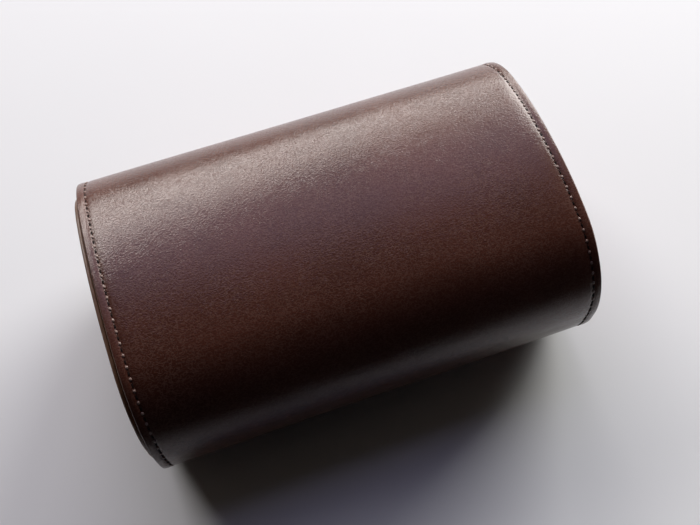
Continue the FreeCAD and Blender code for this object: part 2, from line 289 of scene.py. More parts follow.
def cut_columns(piece):
    """Cuts a sheet across its length, so that it can take a gentle wave."""
    edit(piece)
    count = round(2 * HALF_LENGTH / COLUMN_STEP)
    for number in range(1, count):
        bpy.ops.mesh.select_all(action="SELECT")
        x = -HALF_LENGTH + number * 2 * HALF_LENGTH / count
        bpy.ops.mesh.bisect(plane_co=(x, 0, 0), plane_no=(1, 0, 0))
    leave()


def cut_rows(piece, low, high):
    """Cuts the upright walls of a sheet into level rows."""
    edit(piece)
    count = round((high - low) / UPRIGHT_STEP)
    for number in range(1, count):
        bpy.ops.mesh.select_all(action="SELECT")
        height = low + number * (high - low) / count
        bpy.ops.mesh.bisect(plane_co=(0, 0, height), plane_no=(0, 0, 1))
    leave()


# Lift of the leather at each distance from its edge: a rounded margin, then the stitch groove
MARGIN_ROWS = (
    (0.0004, 0.00002),
    (0.0012, 0.00012),
    (0.0020, 0.00004),
    (STITCH_MARGIN, -0.00030),
    (0.0031, -0.00016),
    (0.0040, 0.0),
)
ROW_TOLERANCE = 0.00003


def inset_margin(piece):
    """Insets the sheet from its edges, one row after another."""
    edit(piece)
    bpy.ops.mesh.select_all(action="SELECT")
    reached = 0.0
    for distance, _ in MARGIN_ROWS:
        bpy.ops.mesh.inset(thickness=distance - reached, use_boundary=True, use_even_offset=True)
        reached = distance
    leave()


def cut_margin(piece):
    """Cuts the sheet along both of its ends, one row after another."""
    edit(piece)
    for distance, _ in MARGIN_ROWS:
        for sign in (-1, 1):
            bpy.ops.mesh.select_all(action="SELECT")
            bpy.ops.mesh.bisect(plane_co=(sign * (HALF_LENGTH - distance), 0, 0), plane_no=(1, 0, 0))
    leave()


def flatten_base(piece):
    """Presses everything under the table's surface flat against it."""
    edit(piece)
    pick(piece, lambda place: place.z < 0)
    bpy.ops.transform.resize(value=(1, 1, 0), center_override=(0, 0, 0))
    leave()


def shape_margin(piece, edge_distance):
    """Sinks the stitch groove and lifts the margin beside it."""
    edit(piece)
    for distance, lift in MARGIN_ROWS:
        if lift:
            pick(piece, lambda place: abs(edge_distance(place) - distance) < ROW_TOLERANCE)
            bpy.ops.transform.shrink_fatten(value=lift)
    leave()


def end_distance(place):
    return HALF_LENGTH - abs(place.x)


def flap_edge_distance(place):
    """Distance from the wrap's ends and the rounded free edge of the flap."""
    across = end_distance(place)
    if place.y > FLAP_FACE + LEATHER:
        return across
    up = place.z - FLAP_EDGE
    if across < FLAP_CORNER_RADIUS and up < FLAP_CORNER_RADIUS:
        return FLAP_CORNER_RADIUS - math.hypot(FLAP_CORNER_RADIUS - across, FLAP_CORNER_RADIUS - up)
    return min(across, up)


def seam_turn(place):
    """Angle of a point about the back shoulder's centre."""
    return math.atan2(place.z - SIDE_TOP, place.y - BACK + SHOULDER_RADIUS)


def is_seam(place):
    """True on the line where the two leathers meet, through their thickness."""
    if place.y < BACK - SHOULDER_RADIUS:
        return False
    return abs(seam_turn(place) - SEAM_ANGLE) < SEAM_TOLERANCE


def round_rims(piece, width):
    """Rounds the cut edges of a sheet with thickness, all but the seam."""
    edit(piece)
    bpy.ops.mesh.select_mode(type="EDGE")
    bpy.ops.mesh.edges_select_sharp(sharpness=SHARP_ANGLE)
    mesh = bmesh.from_edit_mesh(piece.data)
    for edge in mesh.edges:
        if edge.select and all(is_seam(point.co) for point in edge.verts):
            edge.select_set(False)
    bmesh.update_edit_mesh(piece.data)
    bpy.ops.mesh.bevel(offset=width, segments=3, affect="EDGES")
    leave()


def wave(piece):
    """Gives the leather the slight unevenness of a hand-covered board."""
    clouds = bpy.data.textures.get("leather_wave") or bpy.data.textures.new("leather_wave", "CLOUDS")
    clouds.noise_scale = WAVE_SCALE
    clouds.noise_depth = 1
    settings = {"texture": clouds, "texture_coords": "LOCAL", "strength": WAVE_DEPTH, "mid_level": 0.5}
    apply_modifier(piece, "DISPLACE", **settings)


def dress(piece, *materials):
    piece.data.materials.clear()
    for material in materials:
        piece.data.materials.append(material)


# Grain of the leather: how fine its parts are, how far it drifts, and its tones
PEBBLE_SCALE = 1400.0
WRINKLE_SCALE = 1900.0
HAIR_SCALE = 1300.0
GRAIN_DRIFT = 0.0014
LEATHER_DARK = (0.058, 0.0145, 0.0070)
LEATHER_LIGHT = (0.084, 0.0225, 0.012)
LEATHER_HAIRLINE = (0.17, 0.09, 0.066, 1.0)

# Relief of the materials
GRAIN_DEPTH = 0.000075
EDGE_DEPTH = 0.00010
NAP_DEPTH = 0.00012
THREAD_DEPTH = 0.00006
BOARD_DEPTH = 0.00008


def add_node(tree, kind, inputs=None, **settings):
    """Adds a node, sets its settings and fills its inputs with values or links."""
    node = tree.nodes.new(kind)
    for name, value in settings.items():
        setattr(node, name, value)
    for name, value in (inputs or {}).items():
        if isinstance(value, bpy.types.NodeSocket):
            tree.links.new(value, node.inputs[name])
        else:
            node.inputs[name].default_value = value
    return node


def new_group(name, inputs, outputs):
    """A shader group with named value inputs and outputs; returns it with its two end nodes."""
    group = bpy.data.node_groups.new(name, "ShaderNodeTree")
    for label, kind in inputs.items():
        group.interface.new_socket(label, in_out="INPUT", socket_type=kind)
    for label, kind in outputs.items():
        group.interface.new_socket(label, in_out="OUTPUT", socket_type=kind)
    start = group.nodes.new("NodeGroupInput")
    end = group.nodes.new("NodeGroupOutput")
    return group, start, end


def noise(tree, place, scale, detail, roughness=0.5):
    inputs = {"Vector": place, "Scale": scale, "Detail": detail, "Roughness": roughness}
    return add_node(tree, "ShaderNodeTexNoise", inputs)


def combine(tree, operation, first, second):
    """Adds, subtracts or multiplies two vectors."""
    node = add_node(tree, "ShaderNodeVectorMath", {0: first, 1: second}, operation=operation)
    return node.outputs["Vector"]


def ranged(tree, value, low, high, new_low, new_high):
    """Stretches a value from one range to another and holds it there."""
    inputs = {"Value": value, "From Min": low, "From Max": high, "To Min": new_low, "To Max": new_high}
    return add_node(tree, "ShaderNodeMapRange", inputs).outputs["Result"]


def grain_group():
    """Fine creases between small pebbles, a slow mottling, and pale hairlines, stronger in some patches."""
    group, start, end = new_group(
        "leather_grain",
        {"Place": "NodeSocketVector"},
        {"Height": "NodeSocketFloat", "Mottle": "NodeSocketFloat", "Hair": "NodeSocketFloat"},
    )
    place = start.outputs["Place"]
    drift = noise(group, place, 260.0, 2.0)
    centred = combine(group, "SUBTRACT", drift.outputs["Color"], (0.5, 0.5, 0.5))
    shifted = combine(group, "MULTIPLY", centred, (GRAIN_DRIFT, GRAIN_DRIFT, GRAIN_DRIFT))
    warped = combine(group, "ADD", place, shifted)
    drawn = combine(group, "MULTIPLY", warped, (0.7, 1.0, 1.0))
    pebbles = {"Vector": drawn, "Scale": PEBBLE_SCALE}
    cells = add_node(group, "ShaderNodeTexVoronoi", pebbles, feature="DISTANCE_TO_EDGE")
    crease = ranged(group, cells.outputs["Distance"], 0.0, 0.22, 0.0, 1.0)
    wrinkle = noise(group, drawn, WRINKLE_SCALE, 2.0, 0.6)
    patches = noise(group, place, 60.0, 3.0)
    strength = ranged(group, patches.outputs["Fac"], 0.35, 0.65, 0.8, 1.0)
    layers = {"Factor": 0.65, 2: crease, 3: wrinkle.outputs["Fac"]}
    mixed = add_node(group, "ShaderNodeMix", layers, data_type="FLOAT")
    height = add_node(group, "ShaderNodeMath", {0: mixed.outputs[0], 1: strength}, operation="MULTIPLY")
    mottle = noise(group, place, 24.0, 4.0, 0.6)
    strands = noise(group, drawn, HAIR_SCALE, 1.0)
    aside = add_node(group, "ShaderNodeMath", {0: strands.outputs["Fac"], 1: 0.5}, operation="SUBTRACT")
    apart = add_node(group, "ShaderNodeMath", {0: aside.outputs["Value"]}, operation="ABSOLUTE")
    thin = ranged(group, apart.outputs["Value"], 0.0, 0.09, 1.0, 0.0)
    shown = ranged(group, patches.outputs["Fac"], 0.35, 0.65, 0.6, 1.0)
    hair = add_node(group, "ShaderNodeMath", {0: thin, 1: shown}, operation="MULTIPLY")
    group.links.new(height.outputs["Value"], end.inputs["Height"])
    group.links.new(mottle.outputs["Fac"], end.inputs["Mottle"])
    group.links.new(hair.outputs["Value"], end.inputs["Hair"])
    return group


def new_material(name):
    """An empty node material; returns its tree, its shader and its object coordinates."""
    material = bpy.data.materials.new(name)
    material.use_nodes = True
    tree = material.node_tree
    shader = tree.nodes["Principled BSDF"]
    place = add_node(tree, "ShaderNodeTexCoord").outputs["Object"]
    return material, tree, shader, place


def two_tone(tree, factor, dark, light):
    """A colour that runs from dark to light with a factor."""
    inputs = {"Factor": factor, 6: (*dark, 1.0), 7: (*light, 1.0)}
    return add_node(tree, "ShaderNodeMix", inputs, data_type="RGBA").outputs[2]


def bump(tree, height, depth):
    node = add_node(tree, "ShaderNodeBump", {"Height": height, "Distance": depth, "Strength": 1.0})
    return node.outputs["Normal"]


def leather_material(grain):
    """Dark brown semi-gloss leather with fine creased grain."""
    material, tree, shader, place = new_material("brown_leather")
    skin = add_node(tree, "ShaderNodeGroup", node_tree=grain)
    tree.links.new(place, skin.inputs["Place"])
    tone = ranged(tree, skin.outputs["Mottle"], 0.35, 0.65, 0.0, 1.0)
    colour = two_tone(tree, tone, LEATHER_DARK, LEATHER_LIGHT)
    # Pale hairlines mixed into the base colour, stronger in some patches
    hairline_share = ranged(tree, skin.outputs["Hair"], 0.0, 1.0, 0.0, 0.45)
    hairs = {"Factor": hairline_share, 6: colour, 7: LEATHER_HAIRLINE}
    streaked = add_node(tree, "ShaderNodeMix", hairs, data_type="RGBA")
    tree.links.new(streaked.outputs[2], shader.inputs["Base Color"])
    tree.links.new(ranged(tree, skin.outputs["Height"], 0.1, 0.6, 0.26, 0.19), shader.inputs["Roughness"])
    tree.links.new(bump(tree, skin.outputs["Height"], GRAIN_DEPTH), shader.inputs["Normal"])
    shader.inputs["IOR"].default_value = 1.5
    shader.inputs["Specular Tint"].default_value = (1.0, 0.95, 0.93, 1.0)
    shader.inputs["Coat Weight"].default_value = 0.2
    shader.inputs["Coat Roughness"].default_value = 0.6
    return material


def edge_paint_material():
    """Burnished, painted edges: a warmer brown with soft streaks along the cut."""
    material, tree, shader, place = new_material("edge_paint")
    streaks = noise(tree, place, 420.0, 3.0)
    colour = two_tone(tree, streaks.outputs["Fac"], (0.120, 0.055, 0.026), (0.210, 0.112, 0.060))
    tree.links.new(colour, shader.inputs["Base Color"])
    tree.links.new(ranged(tree, streaks.outputs["Fac"], 0.3, 0.7, 0.34, 0.5), shader.inputs["Roughness"])
    tree.links.new(bump(tree, streaks.outputs["Fac"], EDGE_DEPTH), shader.inputs["Normal"])
    return material


def nap_group():
    """Short brushed nap: fine fibres and slow strokes where a hand has passed."""
    group, start, end = new_group(
        "suede_nap",
        {"Place": "NodeSocketVector"},
        {"Fibre": "NodeSocketFloat", "Stroke": "NodeSocketFloat"},
    )
    place = start.outputs["Place"]
    fibre = noise(group, place, 2600.0, 4.0, 0.7)
    brushed = combine(group, "MULTIPLY", place, (0.45, 1.0, 1.0))
    stroke = noise(group, brushed, 130.0, 4.0, 0.6)
    group.links.new(fibre.outputs["Fac"], end.inputs["Fibre"])
    group.links.new(stroke.outputs["Fac"], end.inputs["Stroke"])
    return group


def suede_material(name, nap, dark, light):
    """Soft microsuede with a brushed nap."""
    material, tree, shader, place = new_material(name)
    pile = add_node(tree, "ShaderNodeGroup", node_tree=nap)
    tree.links.new(place, pile.inputs["Place"])
    layers = {"Factor": 0.35, 2: pile.outputs["Stroke"], 3: pile.outputs["Fibre"]}
    brushed = add_node(tree, "ShaderNodeMix", layers, data_type="FLOAT")
    colour = two_tone(tree, ranged(tree, brushed.outputs[0], 0.35, 0.65, 0.0, 1.0), dark, light)
    tree.links.new(colour, shader.inputs["Base Color"])
    tree.links.new(bump(tree, pile.outputs["Fibre"], NAP_DEPTH), shader.inputs["Normal"])
    shader.inputs["Roughness"].default_value = 0.95
    shader.inputs["Sheen Weight"].default_value = 0.35
    shader.inputs["Sheen Roughness"].default_value = 0.5
    return material


def thread_material():
    """Waxed dark brown thread with a fine twist, its colour deepened close to black as painted shade of the
    stitch groove.
    """
    material, tree, shader, place = new_material("waxed_thread")
    twist = noise(tree, place, 3800.0, 2.0)
    # Near-black brown: the thread's own dark brown, deepened as painted shade of its groove
    colour = two_tone(tree, twist.outputs["Fac"], (0.004, 0.002, 0.0015), (0.018, 0.008, 0.005))
    tree.links.new(colour, shader.inputs["Base Color"])
    tree.links.new(ranged(tree, twist.outputs["Fac"], 0.3, 0.7, 0.7, 0.9), shader.inputs["Roughness"])
    tree.links.new(bump(tree, twist.outputs["Fac"], THREAD_DEPTH), shader.inputs["Normal"])
    shader.inputs["Specular IOR Level"].default_value = 0.15
    return material


def bridge_material():
    """Leather drawn tight between two needle holes, coloured pale: a painted highlight for the glint each
    raised bridge catches.
    """
    material, tree, shader, place = new_material("bridge_glint_paint")
    glint_speck = noise(tree, place, 1600.0, 2.0)
    # Pale tan colour: painted highlight standing in for the glint on the bridge
    colour = two_tone(tree, glint_speck.outputs["Fac"], (0.18, 0.112, 0.090), (0.30, 0.205, 0.172))
    tree.links.new(colour, shader.inputs["Base Color"])
    tree.links.new(ranged(tree, glint_speck.outputs["Fac"], 0.3, 0.7, 0.36, 0.26), shader.inputs["Roughness"])
    return material


def board_material():
    """Grey-brown pressed board."""
    material, tree, shader, place = new_material("pressed_board")
    pulp = noise(tree, place, 900.0, 5.0, 0.7)
    colour = two_tone(tree, pulp.outputs["Fac"], (0.20, 0.15, 0.11), (0.34, 0.27, 0.21))
    tree.links.new(colour, shader.inputs["Base Color"])
    tree.links.new(bump(tree, pulp.outputs["Fac"], BOARD_DEPTH), shader.inputs["Normal"])
    shader.inputs["Roughness"].default_value = 0.9
    return material


def metal_material(name, dark, light, low, high):
    """Plated or plain metal with fine turning marks."""
    material, tree, shader, place = new_material(name)
    marks = noise(tree, place, 1500.0, 3.0)
    tree.links.new(two_tone(tree, marks.outputs["Fac"], dark, light), shader.inputs["Base Color"])
    tree.links.new(ranged(tree, marks.outputs["Fac"], 0.3, 0.7, low, high), shader.inputs["Roughness"])
    shader.inputs["Metallic"].default_value = 1.0
    return material


def floor_material():
    """Pale matt table top that runs out into an even pale background."""
    material, tree, shader, place = new_material("pale_table")
    speck = noise(tree, place, 14.0, 3.0)
    colour = two_tone(tree, speck.outputs["Fac"], (0.79, 0.79, 0.79), (0.81, 0.81, 0.81))
    tree.links.new(colour, shader.inputs["Base Color"])
    shader.inputs["Roughness"].default_value = 0.7
    away = add_node(tree, "ShaderNodeVectorMath", {0: place}, operation="LENGTH")
    far = ranged(tree, away.outputs["Value"], TABLE_REACH, BACKGROUND_REACH, 0.0, 1.0)
    seen = add_node(tree, "ShaderNodeLightPath").outputs["Is Camera Ray"]
    share = add_node(tree, "ShaderNodeMath", {0: far, 1: seen}, operation="MULTIPLY")
    pale = add_node(tree, "ShaderNodeEmission", {"Color": BACKGROUND, "Strength": 1.0})
    inputs = {0: share.outputs["Value"], 1: shader.outputs["BSDF"], 2: pale.outputs["Emission"]}
    mix = add_node(tree, "ShaderNodeMixShader", inputs)
    tree.links.new(mix.outputs["Shader"], tree.nodes["Material Output"].inputs["Surface"])
    return material


def card_material():
    """Matt black card."""
    material, tree, shader, place = new_material("black_card")
    fleck = noise(tree, place, 30.0, 2.0)
    colour = two_tone(tree, fleck.outputs["Fac"], (0.004, 0.004, 0.004), (0.006, 0.006, 0.006))
    tree.links.new(colour, shader.inputs["Base Color"])
    shader.inputs["Roughness"].default_value = 1.0
    shader.inputs["Specular IOR Level"].default_value = 0.0
    return material


grain = grain_group()
nap = nap_group()
leather = leather_material(grain)
edge_paint = edge_paint_material()
lining_suede = suede_material("sand_suede", nap, (0.38, 0.28, 0.19), (0.46, 0.345, 0.24))
cushion_suede = suede_material("cushion_suede", nap, (0.42, 0.315, 0.215), (0.51, 0.39, 0.28))
thread = thread_material()
bridge_glint_paint = bridge_material()
board = board_material()
steel = metal_material("keeper_steel", (0.42, 0.42, 0.43), (0.56, 0.56, 0.57), 0.3, 0.5)
nickel = metal_material("nickel_plate", (0.62, 0.60, 0.57), (0.72, 0.70, 0.67), 0.15, 0.3)


def bend_at_hinge(piece):
    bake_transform(piece)


def bend_at_fold(piece):
    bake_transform(piece)


def make_trough_leather():
    """Front wall, base and back in one leather, as far as the seam past the hinge."""
    piece = swept_sheet("trough_wrap", trough_outline(0))
    cut_margin(piece)
    cut_columns(piece)
    wave(piece)
    shape_margin(piece, end_distance)
    flatten_base(piece)
    dress(piece, leather, edge_paint)
    thicken(piece, LEATHER, material_offset_rim=1)
    round_rims(piece, EDGE_ROUND)
    smooth(piece)
    bend_at_hinge(piece)
    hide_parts("trough_leather")


def before_seam(place):
    return place.y > BACK - SHOULDER_RADIUS and seam_turn(place) < SEAM_ANGLE - SEAM_TOLERANCE


def round_flap_corners(piece):
    """Rounds the two lower corners of the closing flap."""
    edit(piece)
    pick(piece, lambda place: place.z < FLAP_EDGE + ROW_TOLERANCE)
    bpy.ops.mesh.bevel(offset=FLAP_CORNER_RADIUS, segments=FLAP_CORNER_SEGMENTS, affect="VERTICES")
    leave()


def make_crown_leather():
    """Crown and closing flap in one leather, from the seam on the back shoulder to the free edge."""
    piece = swept_sheet("crown_wrap", crown_outline(0, SPARE_ANGLE))
    round_flap_corners(piece)
    inset_margin(piece)
    edit(piece)
    pick(piece, before_seam)
    bpy.ops.mesh.delete(type="VERT")
    leave()
    cut_rows(piece, FLAP_EDGE, SIDE_TOP)
    cut_columns(piece)
    wave(piece)
    shape_margin(piece, flap_edge_distance)
    dress(piece, leather, edge_paint)
    thicken(piece, LEATHER, material_offset_rim=1)
    round_rims(piece, EDGE_ROUND)
    smooth(piece)
    bend_at_fold(piece)
    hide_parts("lid_leather", "flap_leather")


# The boards and linings start a hair inside the leather
CORE_GAP = 0.00005
CORE = WALL - LEATHER - CORE_GAP
CORE_ROUND = 0.0004


def make_core(name, outline, free_height, wall_top, *nodes):
    """Board and lining under one of the leathers, suede inside and painted on its edges."""
    piece = swept_sheet(name, outline)
    if free_height == FLAP_EDGE:
        round_flap_corners(piece)
    cut_rows(piece, free_height, wall_top)
    dress(piece, board, lining_suede, edge_paint)
    thicken(piece, CORE, material_offset=1, material_offset_rim=2)
    round_rims(piece, CORE_ROUND)
    smooth(piece)
    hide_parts(*nodes)
    return piece


def make_cores():
    inset = LEATHER + CORE_GAP
    wall_top = SIDE_TOP - FRONT_WALL_DROP
    trough_nodes = ("trough_board", "trough_lining")
    crown_nodes = ("lid_board", "lid_lining", "flap_board", "flap_lining")
    trough = make_core("trough_core", trough_outline(inset), BOTTOM_RADIUS, wall_top, *trough_nodes)
    bend_at_hinge(trough)
    crown = make_core("crown_core", crown_outline(inset, 0), FLAP_EDGE, SIDE_TOP, *crown_nodes)
    bend_at_fold(crown)


# Cheeks: the end panels inside the wrap
LID_CLEARANCE = 0.0004
CHEEK_FACING = 0.0010
CHEEK_GROOVE = 0.0002
FACING_INSET = 0.0001
LINING_INSET = 0.0002
CHEEK_ROUND = 0.00045
RIM_SLOPE = 0.8
CHEEK_STITCH_INSET = 0.0022
CHEEK_LEDGE = SIDE_TOP - FRONT_WALL_DROP + LID_CLEARANCE


def cheek_outline(inset):
    """The end panel: inside the trough below the ledge, and under the lid above it."""
    front = FRONT_WALL + WALL + inset
    gap = WALL + LID_CLEARANCE
    base = WALL + inset
    foot = BOTTOM_RADIUS - base
    line = Outline((front, CHEEK_LEDGE + inset), -RIGHT_ANGLE)
    line.straight(CHEEK_LEDGE + inset - BOTTOM_RADIUS, steps=1)
    line.round(foot, RIGHT_ANGLE)
    line.straight(BACK - FRONT_WALL - 2 * BOTTOM_RADIUS, steps=1)
    line.round(foot, RIGHT_ANGLE)
    line.straight(SIDE_TOP - BOTTOM_RADIUS - 2 * LID_CLEARANCE, steps=1)
    line.to((BACK - gap - inset, SIDE_TOP))
    line.round(SHOULDER_RADIUS - gap - inset, shoulder_angle())
    line.round(crown_radius(gap + inset), 2 * (RIGHT_ANGLE - shoulder_angle()), CROWN_STEP)
    line.round(SHOULDER_RADIUS - gap - inset, shoulder_angle())
    line.straight(SIDE_TOP - CHEEK_LEDGE - inset, steps=1)
    return line


def traced_panel(name, outline, near, far):
    """A flat panel with this outline between two planes square to X."""
    deselect()
    half = HALF_LENGTH
    middle = outline.start.x + half
    bpy.ops.mesh.primitive_plane_add(size=2 * half, location=(near + half, middle, outline.start.y))
    piece = bpy.context.object
    piece.name = name
    bpy.ops.object.transform_apply(location=True, rotation=False, scale=False)
    edit(piece)
    pick(piece, lambda place: place.y > middle or place.x > near + half)
    bpy.ops.mesh.delete(type="VERT")
    bpy.ops.mesh.select_all(action="SELECT")
    trace(outline)
    bpy.ops.mesh.select_all(action="SELECT")
    bpy.ops.mesh.remove_doubles(threshold=ROW_TOLERANCE)
    bpy.ops.mesh.edge_face_add()
    bpy.ops.mesh.extrude_region_move(TRANSFORM_OT_translate={"value": (far - near, 0, 0)})
    bpy.ops.mesh.select_all(action="SELECT")
    bpy.ops.mesh.normals_make_consistent(inside=False)
    leave()
    return piece


def round_edges(piece, width, segments=3):
    """Rounds every sharp edge of a panel."""
    edit(piece)
    bpy.ops.mesh.select_mode(type="EDGE")
    bpy.ops.mesh.edges_select_sharp(sharpness=SHARP_ANGLE)
    bpy.ops.mesh.bevel(offset=width, segments=segments, affect="EDGES")
    leave()


def paint_rim(panel):
    """Gives the rim of a panel its second material, and leaves the two faces as they are."""
    for face in panel.data.polygons:
        if abs(face.normal.x) < RIM_SLOPE:
            face.material_index = 1


def join(name, pieces):
    deselect()
    for piece in pieces:
        piece.select_set(True)
    bpy.context.view_layer.objects.active = pieces[0]
    bpy.ops.object.join()
    pieces[0].name = name
    return pieces[0]


def make_cheek(side, sign):
    """One end panel: a leather-covered board, a leather facing over it and suede inside."""
    inner = cheek_low.x
    outer = cheek_high.x
    split = sign * (outer - CHEEK_FACING - CHEEK_GROOVE)
    cover = traced_panel(side + "_cheek_wrap", cheek_outline(0), sign * inner, split)
    facing = traced_panel(side + "_cheek_facing", cheek_outline(FACING_INSET), split, sign * outer)
    for layer in (cover, facing):
        round_edges(layer, CHEEK_ROUND)
        dress(layer, leather, edge_paint)
        paint_rim(layer)
    panel = join(side + "_cheek_leather", [cover, facing])
    smooth(panel)
    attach(panel, "case_body")
    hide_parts(side + "_cheek_cover")
    inside = sign * CHEEK_LINING_FACE
    lining = traced_panel(side + "_cheek_suede", cheek_outline(LINING_INSET), inside, sign * inner)
    round_edges(lining, CHEEK_GROOVE)
    dress(lining, lining_suede)
    smooth(lining)
    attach(lining, "case_body")
    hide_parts(side + "_cheek_lining")


# Divider between the two watch places
divider_low, divider_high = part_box("divider_cover")
DIVIDER_TOP_RADIUS = 0.009
DIVIDER_ROUND = 0.0015


def make_divider():
    """Suede sleeve over the divider board, with soft edges."""
    foot = BOTTOM_RADIUS - WALL
    depth = divider_high.y - divider_low.y
    height = divider_high.z - divider_low.z
    line = Outline((divider_low.y, divider_high.z - DIVIDER_TOP_RADIUS), -RIGHT_ANGLE)
    line.straight(height - DIVIDER_TOP_RADIUS - foot, steps=1)
    line.round(foot, RIGHT_ANGLE)
    line.straight(depth - 2 * foot, steps=1)
    line.round(foot, RIGHT_ANGLE)
    line.straight(height - DIVIDER_TOP_RADIUS - foot, steps=1)
    line.round(DIVIDER_TOP_RADIUS, RIGHT_ANGLE)
    line.straight(depth - 2 * DIVIDER_TOP_RADIUS, steps=1)
    line.round(DIVIDER_TOP_RADIUS, RIGHT_ANGLE)
    sleeve = traced_panel("divider_sleeve", line, divider_low.x, divider_high.x)
    round_edges(sleeve, DIVIDER_ROUND, segments=5)
    dress(sleeve, lining_suede)
    smooth(sleeve)
    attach(sleeve, "case_body")
    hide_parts("divider_cover")


# Watch cushions
CUSHION_VOXEL = 0.0018
CUSHION_PRESSURE = 4.0
CUSHION_STEPS = 20
CUSHION_SWELL = 0.0012
SEAM_INSET = 0.0055
SEAM_DEPTH = 0.0007
SEAM_WIDTH = 0.0007


def swell(cushion, rest):
    """Blows the cover up a little with a cloth simulation and caps how far each point moves."""
    cloth = cushion.modifiers.new("cloth", "CLOTH")
    cloth.settings.use_pressure = True
    cloth.settings.uniform_pressure_force = CUSHION_PRESSURE
    cloth.settings.effector_weights.gravity = 0.0
    cloth.settings.quality = 5
    scene = bpy.context.scene
    for step in range(1, CUSHION_STEPS + 1):
        scene.frame_set(step)
    bpy.ops.object.modifier_apply(modifier=cloth.name)
    scene.frame_set(1)
    for point, start in zip(cushion.data.vertices, rest):
        moved = point.co - start
        if moved.length > CUSHION_SWELL:
            point.co = start + moved * (CUSHION_SWELL / moved.length)


def sew_seams(cushion, node):
    """Draws in a seam round both ends, where the end panels are sewn to the wrap."""
    low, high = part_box(node)
    mesh = cushion.data
    normals = [point.normal.copy() for point in mesh.vertices]
    for point, normal in zip(mesh.vertices, normals):
        for seam in (low.x + SEAM_INSET, high.x - SEAM_INSET):
            sink = SEAM_DEPTH * math.exp(-((point.co.x - seam) / SEAM_WIDTH) ** 2)
            point.co -= normal * sink


def keep_inside(piece, node):
    """Presses a soft piece back into the box of its solid."""
    low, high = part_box(node)
    for point in piece.data.vertices:
        for axis in range(3):
            point.co[axis] = min(max(point.co[axis], low[axis]), high[axis])


def make_cushion(side):
    """A stuffed suede cushion, swollen from its foam."""
    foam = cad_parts[side + "_cushion_foam"]
    cushion = bpy.data.objects.new(side + "_cushion", foam.data.copy())
    bpy.context.scene.collection.objects.link(cushion)
    edit(cushion)
    bpy.ops.mesh.select_all(action="SELECT")
    bpy.ops.mesh.remove_doubles(threshold=ROW_TOLERANCE)
    leave()
    apply_modifier(cushion, "REMESH", mode="VOXEL", voxel_size=CUSHION_VOXEL)
    swell(cushion, [point.co.copy() for point in cushion.data.vertices])
    apply_modifier(cushion, "SUBSURF", levels=2, render_levels=2)
    keep_inside(cushion, side + "_cushion_cover")
    sew_seams(cushion, side + "_cushion_cover")
    dress(cushion, cushion_suede)
    choose(cushion)
    bpy.ops.object.shade_smooth()
    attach(cushion, side + "_cushion")
    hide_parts(side + "_cushion_cover", side + "_cushion_foam")


# Stitches: a sunk thread, then the small bridge of leather before the next hole
STITCH_LENGTH = 0.0022
STITCH_WIDTH = 0.00075
STITCH_DIP = 0.00025
STITCH_SINK = 0.0004
BRIDGE_LENGTH = 0.0011
BRIDGE_WIDTH = 0.0009
BRIDGE_HEIGHT = 0.0005


def oval(name, length, width, height, segments, rings):
    deselect()
    bpy.ops.mesh.primitive_uv_sphere_add(segments=segments, ring_count=rings, radius=0.5)
    piece = bpy.context.object
    piece.name = name
    piece.rotation_euler = (0, RIGHT_ANGLE, 0)
    bpy.ops.object.transform_apply(location=False, rotation=True, scale=False)
    piece.scale = (length, width, height)
    bpy.ops.object.transform_apply(location=False, rotation=False, scale=True)
    return piece


def stitch_model():
    """One stitch lying along X: a thread whose ends dip into their holes, and the bridge after it."""
    strand = oval("stitch_thread", STITCH_LENGTH, STITCH_WIDTH, STITCH_WIDTH, 8, 6)
    dress(strand, thread, bridge_glint_paint)
    edit(strand)
    pick(strand, lambda place: abs(place.x) > STITCH_LENGTH / 4)
    bpy.ops.transform.translate(value=(0, 0, -STITCH_DIP))
    bpy.ops.mesh.select_all(action="SELECT")
    bpy.ops.transform.translate(value=(0, 0, -STITCH_SINK))
    leave()
    bridge = oval("stitch_bridge", BRIDGE_LENGTH, BRIDGE_WIDTH, BRIDGE_HEIGHT, 8, 4)
    dress(bridge, thread, bridge_glint_paint)
    edit(bridge)
    bpy.ops.mesh.select_all(action="SELECT")
    bpy.ops.transform.translate(value=(STITCH_PITCH / 2, 0, -STITCH_SINK / 2))
    leave()
    for face in bridge.data.polygons:
        face.material_index = 1
    model = join("stitch_model", [strand, bridge])
    bpy.ops.object.shade_smooth()
    return model


def stitch_row(name, model, places):
    """Copies the stitch to every place, given as a point, the way along and the way out."""
    copies = []
    for point, along, out in places:
        copy = bpy.data.objects.new(name + "_stitch", model.data.copy())
        bpy.context.scene.collection.objects.link(copy)
        side = out.cross(along)
        turn = Matrix((along, side, out)).transposed().to_4x4()
        copy.data.transform(Matrix.Translation(point) @ turn)
        copies.append(copy)
    return join(name, copies)


def end_places(outline, x, start, end):
    """Stitch places along an outline at one end of the case, evenly spaced."""
    count = round((end - start) / STITCH_PITCH)
    places = []
    for number in range(count):
        point, heading = outline.place(start + (number + 0.5) * (end - start) / count)
        along = Vector((0, math.cos(heading), math.sin(heading)))
        out = Vector((0, math.sin(heading), -math.cos(heading)))
        places.append((Vector((x, point.x, point.y)), along, out))
    return places


def level_places(y, z, reach, out):
    """Stitch places along X at one height."""
    count = round(2 * reach / STITCH_PITCH)
    step = 2 * reach / count
    places = []
    for number in range(count):
        point = Vector((-reach + (number + 0.5) * step, y, z))
        places.append((point, Vector((1, 0, 0)), out))
    return places


def corner_places(sign):
    """Stitch places round one lower corner of the flap."""
    radius = FLAP_CORNER_RADIUS - STITCH_MARGIN
    count = round(radius * RIGHT_ANGLE / STITCH_PITCH)
    centre = Vector((sign * (HALF_LENGTH - FLAP_CORNER_RADIUS), FLAP_FACE, FLAP_EDGE + FLAP_CORNER_RADIUS))
    places = []
    for number in range(count):
        turn = (number + 0.5) / count * RIGHT_ANGLE
        spoke = Vector((sign * math.cos(turn), 0, -math.sin(turn)))
        along = Vector((-sign * math.sin(turn), 0, -math.cos(turn)))
        places.append((centre + spoke * radius, along, Vector((0, -1, 0))))
    return places


